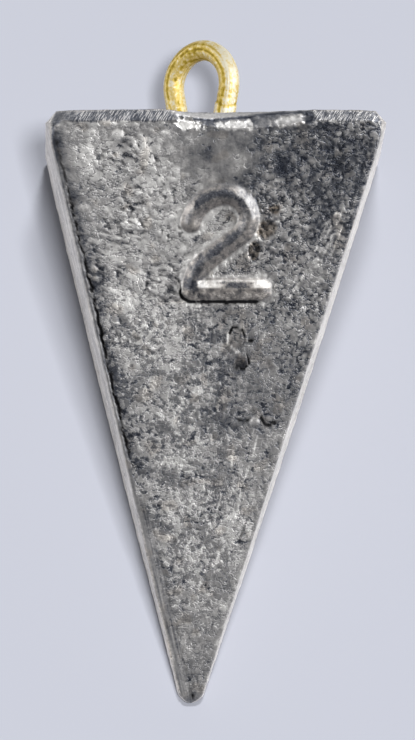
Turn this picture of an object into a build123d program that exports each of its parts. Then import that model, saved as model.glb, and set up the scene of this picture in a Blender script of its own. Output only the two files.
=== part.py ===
from build123d import *
import math
import os

# A two ounce pyramid sinker: a square lead casting with a wire eye cast into its base.
# It is modelled as it stands in its mould, base up and point down, with the numbered face
# towards -Y, and is laid on its plain back face at the end.

# The casting's outline, in millimetres: the rim is its widest line, just under the base
RIM_WIDTH = 20.05
RIM_BEVEL = 0.6
POINT_DEPTH = 36.1
POINT_SHIFT = -1.55
BLUNT_WIDTH = 1.15
EDGE_RADIUS = 0.35
blunt_round_limit_share = 0.38

# The scoop left in the front rim where the gate was nipped off
NIP_RADIUS = 19.0
NIP_DEPTH = 0.42
NIP_SHIFT = 1.6

# The raised weight number: a round bead that follows one stroke and one bar
BEAD_WIDTH = 1.2
BEAD_HEIGHT = 0.45
NUMBER_DROP = 10.05
NUMBER_LEFT = -1.38
BAR_LENGTH = 4.0
FOOT_RADIUS = 2.1
FOOT_TURN = 52.0
NECK_LENGTH = 2.5
BOWL_RADIUS = 1.35
HOOK_RADIUS = 2.1
HOOK_TURN = 78.0

# The wire eye, with its loop turned out of the front plane and its legs splayed inside the lead
WIRE_DIAMETER = 1.15
EYE_RADIUS = 2.08
EYE_RISE = 2.72
EYE_SHIFT = -0.79
EYE_TURN = 40.0
EYE_LEAN = 2.0
LEG_LEAN = 11.0
LEG_LENGTH = 5.0
SPLAY_RADIUS = 1.6
SPLAY_TURN = 40.0
SPLAY_LENGTH = 1.5

# Room left between wire and lead, and how far a cutter reaches past what it cuts
CAST_GAP = 0.02
OVERRUN = 2.0

point_drop = POINT_DEPTH - RIM_BEVEL
face_slope = math.degrees(math.atan2(RIM_WIDTH / 2, point_drop))
face_plane = Plane(
    origin=(0, -RIM_WIDTH / 2, -RIM_BEVEL),
    x_dir=(1, 0, 0),
    z_dir=Vector(0, -1, 0).rotate(Axis.X, face_slope),
)
eye_plane = Plane(
    origin=(EYE_SHIFT, 0, 0),
    x_dir=Vector(1, 0, 0).rotate(Axis.Z, -EYE_TURN),
    z_dir=Vector(0, -1, 0).rotate(Axis.Z, -EYE_TURN),
)


def corner_ring(drop):
    """The casting's four corners at a drop below the base, on lines that meet at the sharp point."""
    share = 1 - (drop - RIM_BEVEL) / point_drop
    half = RIM_WIDTH * share / 2
    shift = POINT_SHIFT * (1 - share)
    return [Vector(shift + x * half, y * half, -drop) for x, y in ((-1, -1), (1, -1), (1, 1), (-1, 1))]


def pyramid():
    """The casting: four flat faces under a bevelled base, with rounded edges and a blunt point."""
    top = corner_ring(0)
    end = corner_ring(RIM_BEVEL + point_drop * (1 - BLUNT_WIDTH / RIM_WIDTH))
    base = Face(Wire.make_polygon(top))
    sides = [Face(Wire.make_polygon([top[i - 1], top[i], end[i], end[i - 1]])) for i in range(4)]
    body = Solid(Shell([base, *sides, Face(Wire.make_polygon(end))]))
    rounded_edges = body.edges().filter_by(lambda edge: edge.bounding_box().min.Z < -RIM_BEVEL)
    body = fillet(rounded_edges, min(EDGE_RADIUS, BLUNT_WIDTH * blunt_round_limit_share))
    flat_width = RIM_WIDTH - 2 * RIM_BEVEL
    return body & extrude(Rectangle(flat_width, flat_width), -POINT_DEPTH, taper=-45)


def nip_cutter():
    """A large roller lying down the front bevel, sunk into it by the depth of the scoop."""
    bevel_middle = Vector(NIP_SHIFT, -(RIM_WIDTH - RIM_BEVEL) / 2, -RIM_BEVEL / 2)
    outward = Vector(0, -1, 1).normalized()
    downhill = Vector(0, -1, -1).normalized()
    axis_point = bevel_middle + outward * (NIP_RADIUS - NIP_DEPTH)
    roller = Cylinder(NIP_RADIUS, 2 * RIM_BEVEL + 2 * OVERRUN)
    return Plane(origin=axis_point, x_dir=(1, 0, 0), z_dir=downhill) * roller


def bead(path, radius):
    """A round bead along a path, with round ends."""
    tube = sweep(Plane(origin=path @ 0, z_dir=path % 0) * Circle(radius), path=path)
    ends = [Pos(path @ end) * Sphere(radius) for end in (0, 1)]
    return tube + ends


def raised_number():
    """The number 2 on the front face: a curved stroke up from its foot, and the bar along its base."""
    radius = (BEAD_WIDTH**2 / 4 + BEAD_HEIGHT**2) / (2 * BEAD_HEIGHT)
    start = (NUMBER_LEFT, -NUMBER_DROP)
    foot = JernArc(start, (0, 1), FOOT_RADIUS, -FOOT_TURN)
    neck = Line(foot @ 1, foot @ 1 + (foot % 1) * NECK_LENGTH)
    bowl = JernArc(neck @ 1, neck % 1, BOWL_RADIUS, 90 + FOOT_TURN)
    hook = JernArc(bowl @ 1, bowl % 1, HOOK_RADIUS, HOOK_TURN)
    bar = Line(start, (NUMBER_LEFT + BAR_LENGTH, -NUMBER_DROP))
    sunk_plane = face_plane.offset(BEAD_HEIGHT - radius)
    stroke_path = sunk_plane * Wire([foot, neck, bowl, hook])
    bar_path = sunk_plane * Wire([bar])
    return bead(stroke_path, radius) + bead(bar_path, radius)


def eye_wire(radius, foot_length):
    """Round wire from one splayed foot up through the loop and down to the other."""
    centre = Vector(0, EYE_RISE)
    loop = CenterArc(centre, EYE_RADIUS, -LEG_LEAN, 180 + 2 * LEG_LEAN)
    down = Vector(0, -1).rotate(Axis.Z, -LEG_LEAN)
    leg = Line(loop @ 0, loop @ 0 + down * LEG_LENGTH)
    splay = JernArc(leg @ 1, leg % 1, SPLAY_RADIUS, LEG_LEAN + SPLAY_TURN)
    foot = Line(splay @ 1, splay @ 1 + (splay % 1) * foot_length)
    right_side = [leg, splay, foot]
    left_side = [edge.mirror(Plane.YZ) for edge in right_side]
    path = eye_plane * Rot(Z=-EYE_LEAN) * Wire([loop, *right_side, *left_side])
    return sweep(Plane(origin=path @ 0, z_dir=path % 0) * Circle(radius), path=path)


def lead_body():
    """The casting with its number raised, the gate nipped off and room for the wire."""
    wire_room = eye_wire(WIRE_DIAMETER / 2 + CAST_GAP, SPLAY_LENGTH + CAST_GAP)
    return pyramid() + raised_number() - nip_cutter() - wire_room


def lay_down(pieces):
    """Turn the pieces onto the back face and put the origin under the middle of their box."""
    turned = {name: Rot(X=face_slope - 90) * piece for name, piece in pieces.items()}
    box = Compound(children=[piece.solid() for piece in turned.values()]).bounding_box()
    middle = box.center()
    shift = Pos(-middle.X, -middle.Y, -box.min.Z)
    return {name: shift * piece for name, piece in turned.items()}


pieces = {
    "lead_body": lead_body(),
    "wire_eye": eye_wire(WIRE_DIAMETER / 2, SPLAY_LENGTH),
}

os.makedirs("parts", exist_ok=True)
for name, piece in lay_down(pieces).items():
    export_step(piece, f"parts/{name}.step")
    print(name, round(piece.volume, 1), "mm3", piece.bounding_box().size)
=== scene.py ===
import bpy
import numpy as np
from mathutils import Matrix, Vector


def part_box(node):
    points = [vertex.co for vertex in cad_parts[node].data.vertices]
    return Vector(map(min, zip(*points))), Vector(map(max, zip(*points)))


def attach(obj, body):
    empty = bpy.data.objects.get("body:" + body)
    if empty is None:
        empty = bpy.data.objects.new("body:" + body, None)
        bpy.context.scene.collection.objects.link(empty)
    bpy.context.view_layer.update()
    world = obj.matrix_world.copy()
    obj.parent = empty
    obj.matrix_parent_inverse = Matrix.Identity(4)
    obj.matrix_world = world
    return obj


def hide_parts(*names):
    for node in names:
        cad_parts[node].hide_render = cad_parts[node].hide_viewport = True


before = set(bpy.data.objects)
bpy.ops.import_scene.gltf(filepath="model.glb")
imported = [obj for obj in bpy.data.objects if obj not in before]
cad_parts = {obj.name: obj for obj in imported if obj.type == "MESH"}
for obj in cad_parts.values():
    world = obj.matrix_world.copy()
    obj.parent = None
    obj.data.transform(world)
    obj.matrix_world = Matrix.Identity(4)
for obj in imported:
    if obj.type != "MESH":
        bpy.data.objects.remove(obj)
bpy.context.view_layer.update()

# The lead casting: one pour of soft grey lead with its weight number raised on the front face. The gate was
# nipped off at the front rim, the rim was filed, and the flash was trimmed along the front left edge.
# Its sizes are millimetres in the mould: base at z 0, point down, numbered front towards -Y.
MM = 0.001
lead_low, lead_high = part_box("lead_body")
RIM_HALF = round((lead_high.x - lead_low.x) / 2 / MM, 3)
BEVEL = 0.6
POINT_DROP = 35.5
POINT_SHIFT = -1.55
FACE_LEAN = np.arctan2(RIM_HALF, POINT_DROP)
LAID_TURN = FACE_LEAN - np.pi / 2


def turned(points):
    """Points or directions of the mould's frame, turned about X so that the back face lies level."""
    x, y, z = np.moveaxis(np.asarray(points, float), -1, 0)
    c, s = np.cos(LAID_TURN), np.sin(LAID_TURN)
    return np.stack([x, y * c - z * s, y * s + z * c], -1)


def laid_down(points):
    """Millimetres of the mould's frame as metres in the part's frame: turned, then moved so that the base's
    back edge meets the casting's box and the back face lies at z 0."""
    base_edge = turned([0, RIM_HALF - BEVEL, 0])
    back_rim = turned([0, RIM_HALF, -BEVEL])
    return (turned(points) - [0, base_edge[1], back_rim[2]]) * MM + [0, lead_high.y, 0]


def side_half(drop):
    """Half the casting's width at a drop below the base, narrowing evenly to the faces' sharp point."""
    return RIM_HALF * (1 - (drop - BEVEL) / POINT_DROP)


# The relief of cast skin grows from a lattice of random slopes: large odd numbers mix each cell's own number,
# the lattice is turned and shifted so that it lines up with no face, and the gains bring heights to about 1
CELL_MIX = np.array([73856093, 19349663, 83492791])
FIRST_MIX = 1274126177
SECOND_MIX = 668265263
SLOPE_SEED_STEP = 1009
LATTICE_TURN = np.array([[0.36, 0.48, -0.8], [-0.8, 0.6, 0.0], [0.48, 0.64, 0.6]])
LATTICE_SHIFT = 500.0
GRAIN_GAIN = 1.9
LAYER_SHARE = 0.55
LAYERED_GAIN = 1.25
FOLD_GAIN = 3.2


def lattice(cells, seed):
    """A repeatable number from 0 to 1 for each cell, mixed from its three indices and the seed."""
    n = (cells * CELL_MIX).sum(-1) ^ (seed * SECOND_MIX)
    n = (n ^ (n >> 13)) * FIRST_MIX
    n = (n ^ (n >> 15)) * SECOND_MIX
    return ((n ^ (n >> 16)) & 0xFFFF) / 0xFFFF


def grain(points, size, seed):
    """Smooth random relief from about -1 to 1 with lumps of this size: each cell of a turned lattice has its
    own random slope, and the heights that the slopes give are eased from cell to cell."""
    place = points @ LATTICE_TURN / size + LATTICE_SHIFT
    cell = np.floor(place).astype(np.int64)
    offset = place - cell
    ease = offset**3 * (offset * (6 * offset - 15) + 10)
    total = 0
    for corner in np.ndindex(2, 2, 2):
        weight = np.where(np.array(corner) == 1, ease, 1 - ease).prod(-1)
        slope = np.stack([lattice(cell + corner, seed + SLOPE_SEED_STEP * k) for k in range(3)], -1) * 2 - 1
        total = total + weight * (slope * (offset - corner)).sum(-1)
    return np.clip(total * GRAIN_GAIN, -1, 1)


def layered(points, size, seed, layers=3, folded=False):
    """Relief upon relief: each layer is turned, with lumps half the size and a share of the height of the one
    before. Folded, each layer's hollows are turned up, so that rounded lumps meet in creases."""
    total = 0
    for k in range(layers):
        layer = grain(points, size * 0.5**k, seed + k)
        total = total + LAYER_SHARE**k * (FOLD_GAIN * np.abs(layer) - 1 if folded else layer)
        points = points @ LATTICE_TURN
    return total / sum(LAYER_SHARE**k for k in range(layers)) * LAYERED_GAIN


def ramp(value, start, end):
    """An eased climb from 0 at start to 1 at end."""
    t = np.clip((value - start) / (end - start), 0, 1)
    return t * t * (3 - 2 * t)


def bump(distance, width):
    """A smooth hill, 1 at no distance and nearly 0 at twice the width."""
    return np.exp(-((distance / width) ** 2))


# An area's edge eases between these shares of its half size, one inside its outline and one outside
AREA_EDGE_SHARES = (0.6, 1.25)


def on_face(u, q):
    """Places on the front face as points of a flat sheet, u right of its middle and q down from the rim."""
    return np.stack([u, q, 0 * u], -1)


def oval(u, q, middle, size):
    """Distance from the middle of an oval on the face, as a share: 1 on its outline."""
    return np.hypot((u - middle[0]) / size[0], (q - middle[1]) / size[1])


def area(u, q, middle, size, ragged=0.0):
    """1 inside an oval on the face, easing to 0 outside it, with its outline shifted by a ragged amount."""
    return 1 - ramp(oval(u, q, middle, size) + ragged, *AREA_EDGE_SHARES)


def arc_distance(u, v, middle, radius, start, end):
    """Distance to an arc given by its middle, radius and two angles, the start angle being the smaller."""
    centre_angle = (start + end) / 2
    swing = (np.arctan2(v - middle[1], u - middle[0]) - centre_angle + np.pi) % (2 * np.pi) - np.pi
    angle = centre_angle + np.clip(swing, (start - end) / 2, (end - start) / 2)
    return np.hypot(u - middle[0] - radius * np.cos(angle), v - middle[1] - radius * np.sin(angle))


def path_distance(u, v, corners):
    """Distance to a path of straight stretches from corner to corner, the nearest stretch counting."""
    stretches = []
    for start, end in zip(corners, corners[1:]):
        run = np.subtract(end, start)
        share = np.clip(((u - start[0]) * run[0] + (v - start[1]) * run[1]) / (run @ run), 0, 1)
        stretches.append(np.hypot(u - start[0] - share * run[0], v - start[1] - share * run[1]))
    return np.minimum.reduce(stretches)


def line(u, q, corners, width):
    """A soft line along a path of corners: 1 on it and nearly 0 at twice its width."""
    return bump(path_distance(u, q, corners), width)


# The finish that each point of the casting carries besides its height: how pale it is, how dark with dirt
# and with shade painted into its cracks, grooves and hollows, how brown and how shiny, and how much of the
# fine flecks, dark pits, thin crevices and file marks shows on it
FINISH = ("tone", "grime_and_shade", "brown", "shine", "fleck", "pit", "crevice", "hatch")
FINE_MARKS = ("fleck", "pit", "crevice")


def fade(skin, share, marks=FINE_MARKS):
    """Take a share of these marks away from the skin, as where the metal is smooth or rubbed."""
    for key in marks:
        skin[key] *= 1 - share


def as_rows(skin):
    """The skin's height in millimetres and its finish, as the rows of one array."""
    return np.stack([skin[key] for key in ("height", *FINISH)])


# Where the front's skin changes: each area's middle and half size, right of the middle and down from the rim
DARK_CORNER = ((9.9, 2.4), (6.2, 7.2))
PEBBLED_SIDE = ((6.0, 6.5), (5.2, 9.0))
SMOOTH_PATCH = ((0.7, 2.4), (3.4, 2.4))
PALE_SIDE = ((-6.8, 6.5), (5.8, 10.0))
FLAKED_MIDDLE = ((-3.8, 8.5), (4.8, 6.0))
FLAKED_CORNER = ((-5.2, 3.4), (3.0, 2.6))
DULL_PATCH = ((2.2, 14.0), (3.6, 5.5))
BOWL_INSIDE = ((-0.1, 5.9), (1.2, 1.3))
FLECKS_BEGIN = (8.0, 13.0)
# The sizes of its swells, lumps, pebbles and flakes, and how the flakes slant and are squeezed
SWELL_SIZE = 3.4
LUMP_SIZE = 1.25
SMALL_LUMP_SIZE = 0.5
PEBBLE_SIZE = 0.6
FLAKE_SIZE = 0.5
FLAKE_GROUP_SIZE = 1.6
FLAKE_SLANT = 0.3
FLAKE_SQUEEZE = 2.4
# Where folded relief is cut off, so that lumps and pebbles have flat tops
LUMP_TOP = 0.8
PEBBLE_TOP = 0.3


def mould_skin(u, q):
    """The numbered face as it left the mould: soft pale lumps at the left with dark slanting flakes among
    them, dark pebbles at the upper right, a smooth patch below the gate, and a flecked skin lower down.
    Each is a layer of plain or folded relief, weighed by the ragged areas in which it shows."""
    flat = on_face(u, q)
    ragged = 0.25 * layered(flat, 2.2, 11)
    dark_corner = area(u, q, *DARK_CORNER, ragged)
    pebbled = np.maximum(dark_corner, 0.85 * area(u, q, *PEBBLED_SIDE, ragged))
    smooth = area(u, q, *SMOOTH_PATCH, 2 * ragged)
    pale = area(u, q, *PALE_SIDE, ragged)
    flaked = np.maximum(area(u, q, *FLAKED_MIDDLE, ragged), 1.3 * area(u, q, *FLAKED_CORNER, ragged))
    right_side = ramp(u - 0.25 * (q - 12) + 2 * ragged, -1.2, 1.0)
    flecked = ramp(q + 2 * ragged, *FLECKS_BEGIN) * (1 - 0.75 * right_side)
    dull = area(u, q, *DULL_PATCH, 2 * ragged)
    in_bowl = area(u, q, *BOWL_INSIDE, ragged)
    rough = 1 - 0.5 * smooth

    swell = layered(flat, SWELL_SIZE, 21, 2)
    lumps = np.minimum(layered(flat, LUMP_SIZE, 31, 3, True), LUMP_TOP) * (0.25 + 0.75 * pale)
    small = layered(flat, SMALL_LUMP_SIZE, 35, 2, True)
    pebbles = np.minimum(layered(flat * [1, 1.25, 1], PEBBLE_SIZE, 43, 3, True), PEBBLE_TOP) * pebbled
    slanted = on_face(u + FLAKE_SLANT * q, FLAKE_SQUEEZE * (q - FLAKE_SLANT * u))
    flakes = ramp(grain(slanted, FLAKE_SIZE, 51), 0.15, 0.34)
    flakes *= ramp(grain(flat, FLAKE_GROUP_SIZE, 53), -0.1, 0.3) * (0.2 + flaked) * rough

    tone = 0.485 + 0.1 * pale - 0.18 * dark_corner - 0.08 * smooth + 0.05 * swell
    tone += 0.045 * ramp(q, 19.0, 25.0) - 0.08 * ramp(q, 31.0, 34.0)
    tone += 0.13 * in_bowl - 0.06 * dull + 0.05 * flaked - 0.03 * flecked + 0.02 * pebbled
    tone += 0.22 * smooth * layered(flat, 1.3, 27, 4) + 0.07 * layered(flat, 0.8, 25, 3)
    tone += rough * (0.09 * lumps + 0.05 * small) + 0.22 * pebbles - 0.17 * flakes
    return {
        "height": 0.05 * swell + rough * (0.06 * lumps + 0.025 * small) + 0.06 * pebbles - 0.06 * flakes,
        "tone": tone,
        "grime_and_shade": 0 * u,
        "brown": 0.25 * ramp(grain(flat, 0.9, 73), 0.35, 0.6),
        "shine": 0.3 + 0.15 * pebbled + 0.2 * smooth - 0.15 * pale,
        "fleck": (0.15 + 0.85 * flecked + 0.25 * dark_corner) * (1 - 0.55 * ramp(q, 26.0, 32.0)),
        "pit": rough * (0.75 - 0.2 * pale + 0.25 * dark_corner),
        "crevice": np.clip(0.9 * pebbled + 0.4 * flaked + 0.35 * rough - 0.4 * smooth, 0, 1),
        "hatch": 0 * u,
    }


# Marks of the pour, by their places on the face: brown spots beside the number as ovals, the cold shut
# below it as two ovals with the paths of its cracks and its ridge, and the wrinkle lower down with a drop
# in its middle
BROWN_SPOTS = (((3.4, 5.3), (0.36, 0.3)), ((2.85, 6.5), (0.78, 0.55)), ((2.2, 7.75), (0.42, 0.6)))
UPPER_LOBE = ((1.3, 13.05), (0.6, 0.58))
LOWER_LOBE = ((1.5, 14.35), (0.38, 0.45))
UPPER_CRACK = ((0.84, 12.65), (1.02, 12.4), (1.4, 12.5), (1.62, 12.8))
LOWER_CRACK = ((1.86, 14.0), (1.92, 14.5), (1.6, 14.85), (1.12, 14.68))
SIDE_CRACK = ((1.98, 13.2), (2.2, 13.1))
LOBE_RIDGE = ((0.74, 12.7), (0.68, 13.3), (1.04, 13.62), (1.42, 13.86))
LEFT_WRINKLE = ((1.3, 17.86), (1.65, 17.98), (2.0, 17.82))
RIGHT_WRINKLE = ((2.66, 17.78), (2.9, 18.16), (3.15, 18.2), (3.5, 18.0))
WRINKLE_DROP = ((2.3, 17.95), (1.0, 0.8))
CRACK_WIDTH = 0.07
CRACK_WAVE = 0.13


def pour_marks(skin, u, q):
    """Marks of the pour: mottled brown spots, each a sunk oval with a raised pale border, a cold shut as
    two small raised lobes with dark cracks and a pale ridge along them, and a wrinkle as two dark lines
    beside a drop."""
    flat = on_face(u, q)
    uneven = layered(flat, 0.55, 90, 3)
    mottled = ramp(layered(flat, 0.3, 92, 2), -0.1, 0.3)
    for middle, size in BROWN_SPOTS:
        far = oval(u, q, middle, size) + 0.3 * uneven
        inside = 1 - ramp(far, 0.7, 1.1)
        skin["height"] += 0.04 * bump(far - 1.25, 0.2) - inside * (0.03 + 0.06 * mottled)
        skin["tone"] += 0.1 * bump(far - 1.3, 0.2) - inside * (0.03 + 0.12 * mottled)
        skin["brown"] += 0.8 * inside
        skin["grime_and_shade"] += 0.35 * inside * mottled

    wavy_u, wavy_q = u + CRACK_WAVE * layered(flat, 0.8, 96, 3), q + CRACK_WAVE * layered(flat, 0.8, 99, 3)
    upper, lower = (1 - ramp(oval(wavy_u, wavy_q, *lobe) + 0.15 * uneven, 0.75, 1.05)
                    for lobe in (UPPER_LOBE, LOWER_LOBE))
    lobes = np.maximum(upper, lower)
    crack = np.maximum.reduce([
        line(wavy_u, wavy_q, UPPER_CRACK, CRACK_WIDTH),
        0.85 * line(wavy_u, wavy_q, LOWER_CRACK, CRACK_WIDTH),
        line(wavy_u, wavy_q, SIDE_CRACK, CRACK_WIDTH + 0.01),
    ])
    ridge = line(wavy_u, wavy_q, LOBE_RIDGE, CRACK_WIDTH)
    stained = lower * (0.4 + 0.6 * mottled)
    skin["height"] += 0.05 * lobes - 0.12 * crack + 0.06 * ridge
    skin["tone"] += 0.38 * ridge - 0.08 * lobes * (1 + uneven) - 0.1 * stained
    skin["tone"] += 0.1 * lobes * layered(flat, 0.3, 98, 2)
    skin["brown"] += 0.3 * lobes + 0.5 * stained
    # Painted shade: the cracks are darkened nearly to black, as the shade inside them.
    skin["grime_and_shade"] += 1.7 * crack * ramp(uneven, -1.1, -0.4)
    fade(skin, 0.4 * lobes)

    wavy_u, wavy_q = (2 * u + wavy_u) / 3, (2 * q + wavy_q) / 3
    wrinkle = np.maximum(0.6 * line(wavy_u, wavy_q, LEFT_WRINKLE, CRACK_WIDTH),
                         line(wavy_u, wavy_q, RIGHT_WRINKLE, CRACK_WIDTH + 0.005))
    drop = 1 - ramp(oval(u, q, *WRINKLE_DROP) + 0.08 * uneven, 0.16, 0.36)
    skin["height"] += 0.12 * drop - 0.08 * wrinkle
    skin["tone"] += 0.24 * drop
    # Painted shade: the wrinkle's lines are darkened nearly to black, as the shade inside them.
    skin["grime_and_shade"] += 1.9 * wrinkle * ramp(uneven, -1.0, -0.3)
    fade(skin, drop, ("pit", "crevice"))


# Marks of handling: the two ends of each scratch, a rubbed band at the upper right, and a hole in the tip
SCRATCHES = (((1.05, 19.8), (0.83, 20.9)), ((2.38, 19.05), (2.16, 20.0)), ((1.94, 20.7), (1.57, 21.8)),
             ((0.32, 22.35), (-0.04, 23.9)), ((-0.94, 16.2), (-2.34, 17.65)), ((-1.2, 16.1), (-2.3, 17.2)),
             ((5.3, 9.0), (4.3, 10.6)), ((-0.5, 24.6), (-1.0, 26.4)), ((7.5, 5.2), (6.2, 8.4)),
             ((7.1, 5.4), (6.1, 7.9)), ((7.55, 6.0), (6.75, 8.1)), ((6.6, 6.0), (5.8, 7.8)),
             ((1.5, 22.2), (1.1, 24.2)), ((0.4, 25.0), (-0.1, 27.0)))
SCRATCH_WIDTH = 0.06
RUBBED_BAND = ((7.4, 5.0), (5.7, 9.4))
RUBBED_WIDTH = 0.5
TIP_HOLE = (-1.33, 34.45)
TIP_HOLE_RADIUS = 0.16


def handling_marks(skin, u, q):
    """Marks of handling: a broad pale rubbed band with its pits worn away, scratches as thin pale lines
    that come and go, fainter low on the face, and a small dark hole near the tip."""
    uneven = layered(on_face(u, q), 0.55, 90, 3)
    rubbed = line(u + 0.3 * uneven, q, RUBBED_BAND, RUBBED_WIDTH)
    skin["tone"] += 0.09 * rubbed
    fade(skin, 0.6 * rubbed, ("pit", "crevice"))
    for ends in SCRATCHES:
        scratch = line(u, q + 0.05 * uneven, ends, SCRATCH_WIDTH) * ramp(uneven, -0.6, 0.2)
        skin["height"] -= 0.015 * scratch
        skin["tone"] += (0.34 - 0.2 * ramp(q, 22.5, 25.0)) * scratch
    hole = bump(np.hypot(u - TIP_HOLE[0], q - TIP_HOLE[1]), TIP_HOLE_RADIUS)
    skin["height"] -= 0.16 * hole
    # Painted shade: the hole is darkened, as the shade inside it.
    skin["grime_and_shade"] += 0.7 * hole


# The number's strokes lie on the front face, u to the right of the middle and v up from the rim
NUMBER_CORNER = np.array([-1.38, -10.05])
BAR_LENGTH = 4.0
FOOT_RADIUS = 2.1
FOOT_TURN = np.radians(52)
NECK_LENGTH = 2.5
BOWL_RADIUS = 1.35
HOOK_RADIUS = 2.1
HOOK_TURN = np.radians(78)
BEAD_HALF = 0.62
BEAD_HEIGHT = 0.45
CREST_RADIUS = 0.16
CREST_SHIFT = 0.12
UNDERCUT_DEPTH = 0.16
UNDERCUT_WIDTH = 0.068
neck_heading = np.pi / 2 - FOOT_TURN
neck_ahead = np.array([np.cos(neck_heading), np.sin(neck_heading)])
neck_left = np.array([-neck_ahead[1], neck_ahead[0]])
bar_end = NUMBER_CORNER + [BAR_LENGTH, 0]
foot_middle = NUMBER_CORNER + [FOOT_RADIUS, 0]
foot_end = foot_middle + FOOT_RADIUS * neck_left
neck_end = foot_end + NECK_LENGTH * neck_ahead
bowl_middle = neck_end + BOWL_RADIUS * neck_left
hook_middle = bowl_middle + [0, BOWL_RADIUS - HOOK_RADIUS]
# Where the stroke's crest is darkest, as areas of the face
DARK_BOWL = ((0.4, 4.5), (2.0, 1.0))
DARK_NECK = ((0.7, 7.5), (1.5, 1.2))
DARK_FOOT = ((-1.5, 9.2), (0.9, 1.8))


def bead(distance):
    """A raised bead's height: two nearly flat flanks that meet in a rounded crest."""
    climb = np.hypot(distance, CREST_RADIUS) - CREST_RADIUS
    return BEAD_HEIGHT * np.clip(1 - climb / (np.hypot(BEAD_HALF, CREST_RADIUS) - CREST_RADIUS), 0, None)


def stroke_distance(u, v):
    """Distance to the number's curved stroke: foot, neck, bowl and hook."""
    return np.minimum.reduce([
        arc_distance(u, v, foot_middle, FOOT_RADIUS, neck_heading + np.pi / 2, np.pi),
        path_distance(u, v, (foot_end, neck_end)),
        arc_distance(u, v, bowl_middle, BOWL_RADIUS, neck_heading - np.pi / 2, np.pi / 2),
        arc_distance(u, v, hook_middle, HOOK_RADIUS, np.pi / 2, np.pi / 2 + HOOK_TURN),
    ])


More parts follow.
